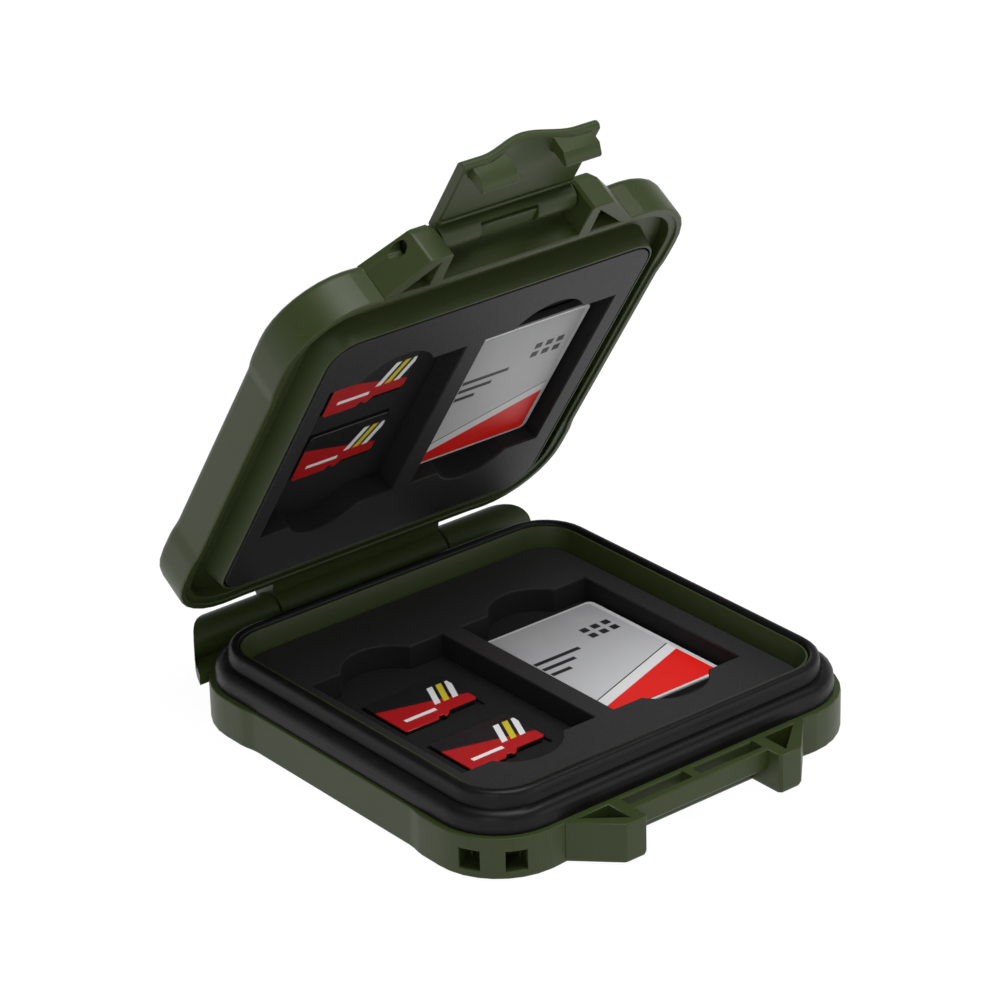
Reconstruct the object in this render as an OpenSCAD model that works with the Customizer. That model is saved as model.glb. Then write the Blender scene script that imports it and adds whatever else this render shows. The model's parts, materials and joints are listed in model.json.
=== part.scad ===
// Pocket-size sealed case for memory cards, shown with its lid half open.
// X runs along the hinge, +Y points to the hinge, +Z is up.
// The origin is the centre of the flat underside.

/* [Case outline] */
// Side of the square case, over its corner bumps
case_side = 76; // [73:1:90]
// Outer radius of the upright corners
corner_r = 11.7; // [10.8:0.1:13]
// How far the left and right sides are set back between the corner bumps
side_dip = 0.5; // [0.2:0.1:1]
// How far the front and the rear are set back between the corner bumps
end_dip = 0.2; // [0.1:0.1:0.5]
// Length of a corner bump along the left and right sides
bump_side = 15.6; // [14:0.2:18]
// Length of a corner bump along the front and the rear
bump_front = 11.9; // [11.8:0.1:13]
// Length of the sweep between a bump and the set-back side
sweep_len = 3.6; // [2.5:0.1:5]
// Rounding of the case's lower edge
foot_round = 0.5; // [0.3:0.05:0.8]
// Rounding of the lid's top edge
lid_round = 1.4; // [0.8:0.1:2]

/* [Heights] */
// Height of the base's outer wall, up to its ledge
base_h = 6.8; // [6.4:0.1:7.4]
// Visible gap between the ledge and the closed lid's rim
seal_gap = 3.9; // [3.8:0.1:4.8]
// Height of the lid from its rim to its flat top
lid_h = 7.2; // [6.8:0.1:8]
// Thickness of the base's floor
floor_t = 1.6; // [1.2:0.1:1.8]
// Thickness of the lid's top wall
roof_t = 1.6; // [1.2:0.1:1.8]
// Height of the base's collar above the ledge
collar_h = 5.3; // [5:0.1:5.5]

/* [Collars] */
// Distance from the case side to the base collar's outer face
collar_inset = 5; // [4.8:0.1:5.2]
// Thickness of the base collar at its top
collar_t = 0.5; // [0.4:0.05:0.6]
// How much thicker the base collar gets down to the foam
collar_taper = 0.8; // [0.5:0.05:0.9]
// Width of the lid's rim
rim_w = 1.9; // [1.5:0.1:2.2]
// Running gap between the two collars near the foam
collar_gap = 0.4; // [0.35:0.05:0.6]
// Thickness of the lid collar at its tip
lid_collar_t = 0.45; // [0.35:0.05:0.6]

/* [Seal] */
// Distance from the case side to the seal's outer face
seal_inset = 1; // [0.8:0.05:1.2]
// Height of the seal's outer bead above the ledge
seal_bead_h = 3.4; // [3.2:0.05:3.5]
// Height of the seal's tall inner bead above the ledge
seal_crest_h = 5.8; // [5.4:0.05:6]

/* [Foam] */
// Depth of the card pockets
pocket_d = 4.1; // [3.6:0.1:4.4]
// Thickness of the base's lower foam layer
bed_t = 3.15; // [2.9:0.05:3.4]
// Gap between the two foam faces when the case is closed
foam_gap = 0.25; // [0.2:0.05:0.5]
// Room beside a large card in its pocket
pocket_side_room = 0.9; // [0.7:0.1:1.4]
// Room beyond each end of a large card in its pocket
pocket_end_room = 2.45; // [2.2:0.05:2.7]
// Thickness of the wall between the two pockets
divider_t = 3.6; // [3:0.1:4.5]
// Shift of the pockets towards the front
pocket_shift = 0.9; // [0:0.1:1.5]
// Radius of the finger notches
notch_r = 7.8; // [7:0.1:8.5]
// How far a finger notch reaches past its pocket
notch_d = 4; // [3:0.1:4.4]
// Clearance of the foam in its shell
foam_fit = 0.1; // [0.05:0.05:0.2]
// Clearance around a card in its recess
card_fit = 0.2; // [0.1:0.05:0.4]

/* [Cards] */
// Width of a large card
sd_w = 24; // [23.5:0.1:24.4]
// Length of a large card
sd_l = 32; // [31:0.1:32.5]
// Thickness of a large card
sd_t = 2.1; // [1.9:0.1:2.3]
// Thickness of a large card's thin edge rails
sd_rail_t = 1.4; // [1.2:0.1:1.5]
// Depth of a large card's recess in the base
sd_sink = 1.05; // [0.8:0.05:1.3]
// Depth of a large card's recess in the lid
lid_sd_sink = 0.5; // [0.3:0.05:1]
// Travel of the write lock on a large card
lock_travel = 2.4; // [2:0.1:2.6]
// Length of a small card
micro_l = 15; // [14.8:0.1:15.2]
// Width of a small card
micro_w = 11; // [10.8:0.1:11.2]
// Thickness of a small card at its grip ridge
micro_t = 1; // [0.9:0.05:1.1]
// Depth of a small card's recess
micro_sink = 0.55; // [0.4:0.05:0.7]
// Gap between the two small cards of a pocket
micro_gap = 5.2; // [4:0.1:6]

/* [Hinge] */
// Distance from the case's rear side to the hinge axis
hinge_back = 4.2; // [4:0.1:5]
// Height of the hinge axis above the ledge
hinge_up = 1.87; // [1.6:0.01:2.2]
// Outer radius of the hinge barrels
barrel_r = 3.3; // [2.8:0.1:3.5]
// Radius of the hinge pin
hinge_pin_r = 1; // [0.8:0.05:1.2]
// Half length of the lid's middle knuckle
knuckle_half = 17; // [14:0.5:20]
// Radius of the hinge's swept ends, seen from above
hinge_sweep_r = 26; // [24:0.5:28]
// Distance from the rear side to where the swept ends begin
hinge_sweep_from = 12.5; // [12:0.1:14]
// Radius of the hinge's rear corners, seen from above
hinge_corner_r = 13; // [11:0.5:14]
// Gap between neighbouring knuckles
knuckle_gap = 0.4; // [0.3:0.05:0.6]
// Angle of the lid from closed, as shown
open_angle = 57; // [40:1:110]

/* [Latch] */
// Distance from the case's front side to the latch axis
latch_out = 3.9; // [3.8:0.1:4.4]
// Distance from the lid's top to the latch axis
latch_down = 2.3; // [2.2:0.1:2.6]
// Half width of the latch plate
latch_half = 12.8; // [12:0.1:13.3]
// Height of the closed latch's free end above the underside
latch_tip_z = 0.4; // [0.2:0.1:0.6]
// Thickness of the latch plate
latch_t = 1.7; // [1.4:0.1:1.9]
// Radius of the latch's barrel
latch_barrel_r = 2.1; // [1.9:0.05:2.2]
// Radius of the latch pin
latch_pin_r = 1.15; // [0.8:0.05:1.2]
// Outward flare of the thumb lip
lip_flare = 1.75; // [1:0.05:2]
// Half width of the thumb lip
lip_half = 8.8; // [7.5:0.1:9.5]
// Gap between the hooks and the keeper bar when latched
hook_fit = 0.3; // [0.2:0.05:0.4]
// Depth of the hooks behind the latch's outer face
hook_d = 5.1; // [4.8:0.1:5.2]
// Inner edge of a hook
hook_from = 4.4; // [3:0.1:5]
// Outer edge of a hook
hook_to = 11.3; // [9:0.1:11.5]
// Angle of the latch from closed, as shown
latch_angle = 90; // [60:1:110]
// Running clearance round a pin
pin_fit = 0.05; // [0.02:0.01:0.08]

/* [Ears and keeper] */
// Side gap between the latch and its ears
ear_gap = 0.3; // [0.2:0.05:0.5]
// How far the ears stand out from the front side
ear_out = 6.2; // [6:0.1:6.6]
// Half width over the ears' front faces
ear_front_half = 17.3; // [16.5:0.1:19]
// Thickness of the ears' inner walls beside the core
ear_wall = 2.3; // [1.8:0.1:2.6]
// Rounding of the ears' outer edges
ear_round = 0.9; // [0.5:0.1:1.2]
// Width of the broken vertical edges of the ears
ear_break = 0.45; // [0.2:0.05:0.7]
// Thickness of the keeper bar
bar_t = 1.2; // [1:0.05:1.3]
// Height of the keeper bar
bar_h = 3.55; // [3.2:0.05:3.6]
// Distance from the front side to the keeper bar's rear face
bar_out = 2.1; // [1.9:0.05:2.2]
// Width of the tab in the middle of the keeper
tab_w = 1.6; // [1.2:0.1:2.4]

/* [Lanyard eye] */
// Side of the two square lanyard holes
eye_side = 3.2; // [2.6:0.1:3.4]
// Height of the holes' lower edge
eye_z = 1.4; // [1.2:0.1:2]
// Angle of each hole from the corner's diagonal
eye_angle = 17.5; // [15:0.5:22]
// Thickness of the bridge that carries the lanyard
eye_bridge = 2.8; // [2.2:0.1:3]

/* [Hidden] */

$fn = 48;
eps = 0.01;
half = case_side / 2;
corner_steps = 8;
sweep_steps = 3;

// Levels of the closed case
rim_z = base_h + seal_gap;
lid_top = rim_z + lid_h;
collar_top = base_h + collar_h;
frame_z = floor_t + bed_t;
foam_top = frame_z + pocket_d;
lid_foam_z = foam_top + foam_gap;
lid_frame_z = lid_foam_z + pocket_d;
roof_z = lid_top - roof_t;
collar_tip_z = lid_foam_z + 0.1;
groove_z = max(base_h + seal_crest_h, collar_top) + 0.4;

// Insets of the collars and the foam from the case side
collar_top_in = collar_inset + collar_t;
cavity_inset = collar_top_in + collar_taper;
lid_collar_inset = cavity_inset + collar_gap - 0.05;
lid_cavity_inset = lid_collar_inset + lid_collar_t;
foam_inset = cavity_inset + foam_fit;
lid_foam_inset = lid_cavity_inset + foam_fit;

// Axes of the hinge and of the closed latch
hinge_y = half + hinge_back;
hinge_z = base_h + hinge_up;
latch_y = -half - latch_out;
latch_z = lid_top - latch_down;
latch_l = latch_z - latch_tip_z;

// The hinge's swept ends, seen from above: where the long sweep turns into the tight corner
sweep_c = [half - hinge_sweep_r, half - hinge_sweep_from];
corner_rise = hinge_y + barrel_r + eps - sweep_c[1] - hinge_corner_r;
corner_turn = asin(corner_rise / (hinge_sweep_r - hinge_corner_r));
corner_c = sweep_c + (hinge_sweep_r - hinge_corner_r) * [cos(corner_turn), sin(corner_turn)];
hinge_half = corner_c[0] + sqrt(pow(hinge_corner_r, 2) - pow(hinge_y - corner_c[1], 2));

// Ears, keeper and latch
ear_inner = latch_half + ear_gap;
ear_y = half + ear_out;
bar_rear = half + bar_out;
bar_z = base_h - bar_h;
ear_front_wall = 1.4;
ear_core_l = 5.9;
hook_reach = latch_z - bar_z + hook_fit;
face_out = latch_barrel_r;
hook_tip = hook_d - face_out;

// Pockets and cards
pocket_w = sd_w + 2 * pocket_side_room;
pocket_l = sd_l + 2 * pocket_end_room;
pocket_x = divider_t / 2 + pocket_w / 2;
pocket_y = -pocket_shift;
sd_x = pocket_x;
sd_y = pocket_y + 0.1;
lid_sd_y = pocket_y + pocket_end_room - 0.35;
micro_x = -pocket_x + 0.3;
micro_pitch = micro_w + micro_gap;
base_micro_y = pocket_y - 0.4;
lid_micro_y = pocket_y - 2.5;
notch_off = -0.45;

// Details of the large card: its write lock, edge rails and contact pads
lock_l = 2.8;
lock_w = 1.2;
lock_y = sd_l / 2 - 9;
lock_run = lock_l + lock_travel;
lock_play = 0.1;
rail_w = 0.9;
pad_pitch = 2.3;
pad_y = sd_l / 2 - 4.2;
pad_w = 1.4;
pad_l = 4;
pad_t = 0.1;
pad_sunk = 0.35;

// Details of the small card: its grip ridge and contact pads
ridge_h = 0.3;
ridge_w = 1.7;

// The side's sweep from a corner bump into the set-back middle, 0 to 1
function ease(t) = t * t * (3 - 2 * t);

// Half of one side: distances from the middle and how far they are set back
function side_knots(bump) = [
    for (i = [0 : sweep_steps])
        [half - bump - sweep_len * i / sweep_steps, ease(i / sweep_steps)]
];

// One side of the outline, from its left corner's arc to its right end
function side_run(inset, dip, bump) = let (
    r = corner_r - inset,
    c = half - corner_r,
    knots = side_knots(bump)
) [
    for (i = [0 : corner_steps])
        let (a = 180 + 90 * i / corner_steps)
            [-c + r * cos(a), -c + r * sin(a)],
    for (k = knots)
        [-k[0], -half + inset + dip * k[1]],
    for (i = [sweep_steps : -1 : 0])
        [knots[i][0], -half + inset + dip * knots[i][1]]
];

function turned(points, a) = [
    for (p = points) [p[0] * cos(a) - p[1] * sin(a), p[0] * sin(a) + p[1] * cos(a)]
];

// The case's outline, drawn in by an inset, with its sides set back in full (1) or not (0)
function outline(inset, dipped = 0) = [
    for (k = [0 : 3])
        let (at_end = k % 2 == 0)
            each turned(
                side_run(
                    inset, dipped * (at_end ? end_dip : side_dip), at_end ? bump_front : bump_side
                ),
                90 * k
            )
];

// Rings are [inset, height, dipped]
function ring_points(rings) = [
    for (ring = rings) each [for (p = outline(ring[0], ring[2])) [p[0], p[1], ring[1]]]
];

function wall_faces(n, from, to) = [
    for (i = [0 : n - 1])
        let (j = (i + 1) % n)
            each [[from + i, to + i, to + j], [from + i, to + j, from + j]]
];

function flipped(faces) = [for (f = faces) [for (i = [len(f) - 1 : -1 : 0]) f[i]]];

// The triangles that close n points, numbered up from a first one, round a middle point
function cap_faces(n, from, middle, reverse) = [
    for (i = [0 : n - 1])
        let (j = (i + 1) % n)
            reverse ? [middle, from + j, from + i] : [middle, from + i, from + j]
];

// A turned-in shell: the rings in order, with the first and last ones closed
module shell_body(rings, downward = false) {
    n = len(outline(0));
    m = len(rings);
    middles = [[0, 0, rings[0][1]], [0, 0, rings[m - 1][1]]];
    walls = [for (k = [0 : m - 2]) each wall_faces(n, n * k, n * (k + 1))];
    first = cap_faces(n, 0, n * m, false);
    last = cap_faces(n, n * (m - 1), n * m + 1, true);
    faces = concat(first, walls, last);
    polyhedron(concat(ring_points(rings), middles), downward ? flipped(faces) : faces);
}

// A moulding that runs round the case with the given section
module ring_body(rings) {
    n = len(outline(0));
    m = len(rings);
    walls = [for (k = [0 : m - 1]) each wall_faces(n, n * k, n * ((k + 1) % m))];
    polyhedron(ring_points(rings), walls);
}

// Places what is drawn in the closed lid at the lid's shown angle
module opened() {
    translate([0, hinge_y, hinge_z])
        rotate([-open_angle, 0, 0])
            translate([0, -hinge_y, -hinge_z])
                children();
}

// Extrudes a section drawn in Y and Z along X
module along_x(from, to) {
    translate([from, 0, 0])
        rotate([90, 0, 90])
            linear_extrude(to - from)
                children();
}

module rod(r, from, to, y, z) {
    translate([from, y, z])
        rotate([0, 90, 0])
            cylinder(r = r, h = to - from);
}

module both_sides() {
    children();
    mirror([1, 0, 0])
        children();
}

// Points of an arc about a centre
function arc_points(c, r, from, to, steps) = [
    for (i = [0 : steps])
        let (a = from + (to - from) * i / steps)
            [c[0] + r * cos(a), c[1] + r * sin(a)]
];

// One end of the hinge seen from above: a long sweep into a tight corner
function hinge_end() = concat(
    arc_points(sweep_c, hinge_sweep_r, 0, corner_turn, 6),
    arc_points(corner_c, hinge_corner_r, corner_turn + 6, 90, 8)
);

module hinge_plan() {
    end = hinge_end();
    polygon([
        for (p = end) p,
        for (i = [len(end) - 1 : -1 : 0]) [-end[i][0], end[i][1]]
    ]);
}

// Plan of one ear from its root in the wall, drawn in by an inset
module ear_plan(inset, root) {
    side = inset / 2;
    from = ear_inner + side;
    polygon([
        [from, -half + root],
        [from, -ear_y + inset + ear_break],
        [from + ear_break, -ear_y + inset],
        [ear_front_half - side - ear_break * 0.7, -ear_y + inset],
        [ear_front_half - side + ear_break * 0.4, -ear_y + inset + ear_break * 0.4],
        [ear_front_half + ear_out - side, -half + inset],
        [ear_front_half + ear_out, -half + root]
    ]);
}

module lanyard_eye() {
    arc_c = half - corner_r;
    inner = corner_r - eye_bridge;
    translate([-arc_c, -arc_c, eye_z]) {
        for (s = [-1, 1])
            rotate([0, 0, 225 + s * eye_angle])
                translate([inner - 1.2, -eye_side / 2, 0])
                    cube([eye_bridge + 3, eye_side, eye_side]);
        difference() {
            linear_extrude(eye_side)
                intersection() {
                    circle(inner);
                    polygon([
                        [0, 0],
                        for (a = [-1.45, 0, 1.45])
                            20 * [cos(225 + a * eye_angle), sin(225 + a * eye_angle)]
                    ]);
                }
            translate([0, 0, -1])
                cylinder(r = inner - 2, h = eye_side + 2);
        }
    }
}

module keeper() {
    along_x(-ear_inner - 0.5, ear_inner + 0.5) {
        translate([-bar_rear - bar_t, bar_z + bar_t / 2])
            square([bar_t, bar_h - bar_t / 2]);
        translate([-bar_rear - bar_t / 2, bar_z + bar_t / 2])
            circle(bar_t / 2 - eps);
    }
    along_x(-tab_w / 2, tab_w / 2)
        translate([-bar_rear - bar_t / 2, bar_z + 0.6])
            square([bar_out + bar_t, bar_h - 0.6]);
}

// A slice of an ear for its hull: drawn in by an inset, over a height from a level
module ear_slice(inset, root, level, height) {
    translate([0, 0, level])
        linear_extrude(height)
            ear_plan(inset, root);
}

module base_ear() {
    root = collar_inset / 2;
    wall_in = ear_inner + ear_wall;
    difference() {
        hull() {
            ear_slice(ear_round, root, 0, eps);
            ear_slice(ear_round * 0.3, root, ear_round * 0.3, eps);
            ear_slice(0, root, ear_round, base_h - ear_round);
        }
        translate([0, 0, floor_t])
            linear_extrude(base_h)
                polygon([
                    [wall_in, -half],
                    [wall_in, -ear_y + ear_front_wall],
                    [wall_in + ear_core_l, -half]
                ]);
    }
}

module base_shell() {
    color("#4d5538")
    difference() {
        union() {
            shell_body([
                [foot_round, 0, 1],
                [foot_round * 0.3, foot_round * 0.3, 1],
                [0, foot_round, 1],
                [0, base_h - 0.3, 1],
                [0.09, base_h - 0.09, 1],
                [0.3, base_h, 1],
                [collar_inset, base_h, 0],
                [collar_inset, collar_top - 0.2, 0],
                [collar_inset + 0.12, collar_top, 0],
                [collar_top_in - 0.12, collar_top, 0],
                [collar_top_in, collar_top - 0.15, 0],
                [cavity_inset - 0.05, foam_top + 0.2, 0],
                [cavity_inset, foam_top, 0],
                [cavity_inset, floor_t, 0]
            ]);
            both_sides()
                base_ear();
            keeper();
            both_sides()
                intersection() {
                    along_x(knuckle_half + knuckle_gap / 2, half) {
                        translate([hinge_y, hinge_z])
                            circle(barrel_r);
                        translate([half - 3, base_h - 1.8])
                            square([hinge_back + 3 + barrel_r * 0.55, 1.8]);
                    }
                    linear_extrude(lid_top)
                        hinge_plan();
                }
        }
        lanyard_eye();
        rod(hinge_pin_r + pin_fit / 2, -hinge_half + 2.2, hinge_half + 6, hinge_y, hinge_z);
    }
}

module base_seal() {
    z = base_h;
    color("#1c1d1d")
    ring_body([
        [seal_inset + 0.05, z, 0],
        [seal_inset, z + 0.3, 0],
        [seal_inset, z + 0.9, 0],
        [seal_inset + 0.2, z + 1.25, 0],
        [seal_inset + 0.55, z + 1.5, 0],
        [seal_inset + 0.65, z + 1.85, 0],
        [seal_inset + 0.5, z + 2.2, 0],
        [seal_inset + 0.6, z + seal_bead_h - 0.45, 0],
        [seal_inset + 1.1, z + seal_bead_h - 0.05, 0],
        [seal_inset + 1.7, z + seal_bead_h, 0],
        [seal_inset + 2.15, z + seal_bead_h - 0.3, 0],
        [seal_inset + 2.2, z + seal_crest_h - 1.2, 0],
        [seal_inset + 2.35, z + seal_crest_h - 0.4, 0],
        [seal_inset + 2.8, z + seal_crest_h, 0],
        [collar_inset - 0.45, z + seal_crest_h - 0.35, 0],
        [collar_inset, z + seal_crest_h - 1, 0],
        [collar_inset, z, 0]
    ]);
}

// The two pockets with their finger notches
module pockets() {
    for (s = [-1, 1]) {
        translate([s * pocket_x - pocket_w / 2, pocket_y - pocket_l / 2])
            square([pocket_w, pocket_l]);
        for (e = [-1, 1])
            translate([s * pocket_x + notch_off, pocket_y + e * (pocket_l / 2 + notch_d - notch_r)])
                circle(notch_r);
    }
}

module foam_frame(inset, z) {
    translate([0, 0, z])
        linear_extrude(pocket_d)
            difference() {
                polygon(outline(inset));
                pockets();
            }
}

module sd_recess(at) {
    translate([sd_x, at])
        square([sd_w + 2 * card_fit, sd_l + 2 * card_fit], center = true);
}

module micro_recesses(at) {
    for (e = [-1, 1])
        translate([micro_x, at + e * micro_pitch / 2])
            square([micro_l + 2 * card_fit, micro_w + 2 * card_fit], center = true);
}

module base_foam_bed() {
    color("#2e2e2f")
    translate([0, 0, floor_t])
        difference() {
            linear_extrude(bed_t)
                polygon(outline(foam_inset));
            translate([0, 0, bed_t - sd_sink])
                linear_extrude(sd_sink + 1)
                    sd_recess(sd_y);
            translate([0, 0, bed_t - micro_sink])
                linear_extrude(micro_sink + 1)
                    micro_recesses(base_micro_y);
        }
}

module base_foam_frame() {
    color("#3a3a3b")
    foam_frame(foam_inset, frame_z);
}

module hinge_pin() {
    color("#b9bbbd")
    rod(hinge_pin_r, -hinge_half + 2.5, hinge_half - 3, hinge_y, hinge_z);
}

module lid_ear() {
    root = rim_w / 2;
    wall_in = ear_inner + ear_wall - 0.2;
    difference() {
        hull() {
            ear_slice(0, root, rim_z, lid_h - 2.2);
            ear_slice(0.7, root, lid_top - 1, 0.4);
            ear_slice(1.9, root, lid_top - 0.2, 0.2);
        }
        translate([0, 0, rim_z - 1])
            linear_extrude(3.6)
                polygon([
                    [wall_in, -half + 0.6],
                    [wall_in, -ear_y + ear_front_wall],
                    [wall_in + ear_core_l + 0.5, -half + 0.6]
                ]);
    }
}

module lid_knuckle() {
    along_x(-knuckle_half + knuckle_gap / 2, knuckle_half - knuckle_gap / 2) {
        translate([hinge_y, hinge_z])
            circle(barrel_r);
        polygon([
            [hinge_y - barrel_r * 0.5, hinge_z + barrel_r * 0.2],
            [hinge_y + barrel_r * 0.6, hinge_z + barrel_r * 0.7],
            [hinge_y + barrel_r * 0.2, rim_z + 3.4],
            [half - rim_w, rim_z + 4.2],
            [half - rim_w, rim_z + 1.4],
            [half - 1, rim_z + 0.4]
        ]);
    }
}

module lid_shell() {
    color("#4a5236")
    opened()
    difference() {
        union() {
            shell_body([
                [lid_round, lid_top, 1],
                [lid_round * 0.5, lid_top - lid_round * 0.13, 1],
                [lid_round * 0.13, lid_top - lid_round * 0.5, 1],
                [0, lid_top - lid_round, 1],
                [0, rim_z + 0.2, 1],
                [0.2, rim_z, 1],
                [1.1, rim_z, 1],
                [1.15, rim_z + 0.4, 1],
                [rim_w + 0.4, rim_z + 0.45, 0],
                [rim_w + 0.5, groove_z, 0],
                [collar_top_in + collar_gap, groove_z, 0],
                [lid_collar_inset, collar_tip_z + 0.15, 0],
                [lid_collar_inset + 0.15, collar_tip_z, 0],
                [lid_cavity_inset - 0.1, collar_tip_z, 0],
                [lid_cavity_inset, collar_tip_z + 0.15, 0],
                [lid_cavity_inset, roof_z, 0]
            ], downward = true);
            both_sides()
                lid_ear();
            lid_knuckle();
        }
        rod(hinge_pin_r + pin_fit, -knuckle_half - 1, knuckle_half + 1, hinge_y, hinge_z);
        rod(latch_pin_r + pin_fit, -ear_front_half - 6, ear_inner + 3.2, latch_y, latch_z);
    }
}

module lid_foam_bed() {
    color("#29292a")
    opened()
    difference() {
        translate([0, 0, lid_frame_z])
            linear_extrude(roof_z - lid_frame_z)
                polygon(outline(lid_foam_inset));
        translate([0, 0, lid_frame_z - 1])
            linear_extrude(lid_sd_sink + 1)
                sd_recess(lid_sd_y);
        translate([0, 0, lid_frame_z - 1])
            linear_extrude(micro_sink + 1)
                micro_recesses(lid_micro_y);
    }
}

module lid_foam_frame() {
    color("#343436")
    opened()
    foam_frame(lid_foam_inset, lid_foam_z);
}

module latch_pin() {
    color("#b9bbbd")
    opened()
    rod(latch_pin_r, -ear_front_half - 0.9, ear_inner + 3, latch_y, latch_z);
}

// Outward bow of the latch at distance s from its axis and place x along it
function lip_bow(x, s) =
    lip_flare * ease(max(0, min(1, (lip_half - abs(x)) / lip_half)))
    * ease(max(0, min(1, (s - latch_l * 0.66) / (latch_l * 0.32))));

// Section of the latch plate at place x: its outer face down, its inner face up
function latch_section(x) = let (
    s = [1, 5, 9, 10.5, 12, 13.2, 14.2, latch_l - 0.5]
) [
    for (v = s) [-face_out - lip_bow(x, v), -v],
    [-face_out - lip_bow(x, latch_l) + latch_t * 0.3, -latch_l],
    [-face_out - lip_bow(x, latch_l) + latch_t * 0.7, -latch_l],
    for (i = [len(s) - 1 : -1 : 0])
        [-face_out + latch_t - 1.1 * lip_bow(x, s[i]), -s[i]]
];

module latch_plate() {
    steps = 24;
    stations = [for (i = [0 : steps]) -latch_half + 2 * latch_half * i / steps];
    n = len(latch_section(0));
    points = [for (x = stations) each [for (p = latch_section(x)) [x, p[0], p[1]]]];
    middle_y = -face_out + latch_t / 2;
    middles = [for (s = [-1, 1]) [s * latch_half, middle_y, -latch_l / 2]];
    walls = [for (k = [0 : steps - 1]) each wall_faces(n, n * k, n * (k + 1))];
    first = cap_faces(n, 0, n * (steps + 1), false);
    last = cap_faces(n, n * steps, n * (steps + 1) + 1, true);
    polyhedron(concat(points, middles), concat(first, walls, last));
}

module latch_hook() {
    along_x(hook_from, hook_to)
        polygon([
            [-face_out + 0.5, -hook_reach + 0.6],
            [-face_out + latch_t, -hook_reach + 0.3],
            [-face_out + latch_t + 0.3, -hook_reach],
            [hook_tip, -hook_reach],
            [hook_tip, -hook_reach - 0.6],
            [hook_tip - 1.4, -latch_l + 0.7],
            [-face_out + 0.5, -latch_l + 0.5]
        ]);
}

module latch() {
    color("#565d45")
    opened()
    translate([0, latch_y, latch_z])
        rotate([-latch_angle, 0, 0])
            difference() {
                union() {
                    latch_plate();
                    rod(latch_barrel_r, -latch_half, latch_half, 0, 0);
                    both_sides()
                        latch_hook();
                    along_x(-latch_half, latch_half)
                        translate([-face_out + latch_t - 0.3, -3.4])
                            square([0.7, 0.6]);
                }
                rod(latch_pin_r + pin_fit, -latch_half - 1, latch_half + 1, 0, 0);
                translate([-5.4, 0.9, -3])
                    cube([10.8, 3, 6]);
            }
}

// Outline of a large card, with rounded corners
module sd_outline(w, l, r) {
    square([w - 2 * r, l], center = true);
    square([w, l - 2 * r], center = true);
    for (x = [-1, 1], y = [-1, 1])
        translate([x * (w / 2 - r), y * (l / 2 - r)])
            circle(r);
}

module sd_front() {
    difference() {
        translate([0, 0, sd_t - sd_rail_t])
            linear_extrude(sd_rail_t)
                sd_outline(sd_w, sd_l, 1.2);
        translate([-sd_w / 2 - 1, lock_y - lock_run / 2 - lock_play, 0])
            cube([1 + lock_w + lock_play, lock_run + 2 * lock_play, sd_t + 1]);
    }
}

module sd_back() {
    difference() {
        linear_extrude(sd_t - sd_rail_t)
            sd_outline(sd_w - 2 * rail_w, sd_l - 2 * rail_w, 0.9);
        for (i = [-4 : 4])
            translate([i * pad_pitch, pad_y, (pad_sunk + pad_t) / 2])
                cube([pad_w + 0.2, pad_l + 0.4, pad_sunk + pad_t + eps], center = true);
    }
}

module sd_contacts() {
    for (i = [-4 : 4])
        translate([i * pad_pitch, pad_y, pad_sunk + pad_t / 2])
            cube([pad_w, pad_l, pad_t], center = true);
}

// The write lock, at the contact end of its run
module sd_lock() {
    translate([-sd_w / 2 + lock_play, lock_y + lock_run / 2 - lock_l, sd_t - sd_rail_t + 0.15])
        cube([lock_w - lock_play, lock_l, sd_rail_t - 0.3]);
}

// Outline of a small card: its contact end is at +X and stepped on one side
module micro_outline() {
    l = micro_l / 2;
    w = micro_w / 2;
    polygon([
        [-l, -w + 0.4], [-l + 0.4, -w], [-1.3, -w], [-0.6, -w + 0.75], [0.2, -w + 0.75],
        [0.2, -w + 0.2], [0.8, -w + 0.2], [1.9, -w + 1.3], [l - 0.5, -w + 1.3],
        [l, -w + 1.8], [l, w - 0.5], [l - 0.5, w], [-l + 0.4, w], [-l, w - 0.4]
    ]);
}

module micro_card() {
    translate([0, 0, ridge_h])
        linear_extrude(micro_t - ridge_h)
            micro_outline();
    linear_extrude(ridge_h)
        intersection() {
            micro_outline();
            translate([-micro_l / 2, -micro_w / 2])
                square([ridge_w, micro_w]);
        }
}

module micro_contacts() {
    for (i = [-3.5 : 3.5])
        translate([micro_l / 2 - 3.6, 0.5 + i * 1.1 - 0.4, 0.25])
            cube([2.9, 0.8, 0.05]);
}

// Places a card in the base's foam, its face up and its lower edge to the front
module in_base(x, y, sink) {
    translate([x, y, frame_z - sink])
        children();
}

// Places a card in the lid's foam, its face out of the lid
module in_lid(x, y, sink) {
    opened()
        translate([x, y, lid_frame_z + sink])
            mirror([0, 0, 1])
                mirror([0, 1, 0])
                    children();
}

module base_sd_front() {
    color("#d7d8da")
    in_base(sd_x, sd_y, sd_sink)
        sd_front();
}

module base_sd_back() {
    color("#b9babd")
    in_base(sd_x, sd_y, sd_sink)
        sd_back();
}

module base_sd_contacts() {
    color("#c9a24a")
    in_base(sd_x, sd_y, sd_sink)
        sd_contacts();
}

module base_sd_lock() {
    color("#8f9194")
    in_base(sd_x, sd_y, sd_sink)
        sd_lock();
}

module lid_sd_front() {
    color("#d7d8da")
    in_lid(sd_x, lid_sd_y, lid_sd_sink)
        sd_front();
}

module lid_sd_back() {
    color("#b9babd")
    in_lid(sd_x, lid_sd_y, lid_sd_sink)
        sd_back();
}

module lid_sd_contacts() {
    color("#c9a24a")
    in_lid(sd_x, lid_sd_y, lid_sd_sink)
        sd_contacts();
}

module lid_sd_lock() {
    color("#8f9194")
    in_lid(sd_x, lid_sd_y, lid_sd_sink)
        sd_lock();
}

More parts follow.
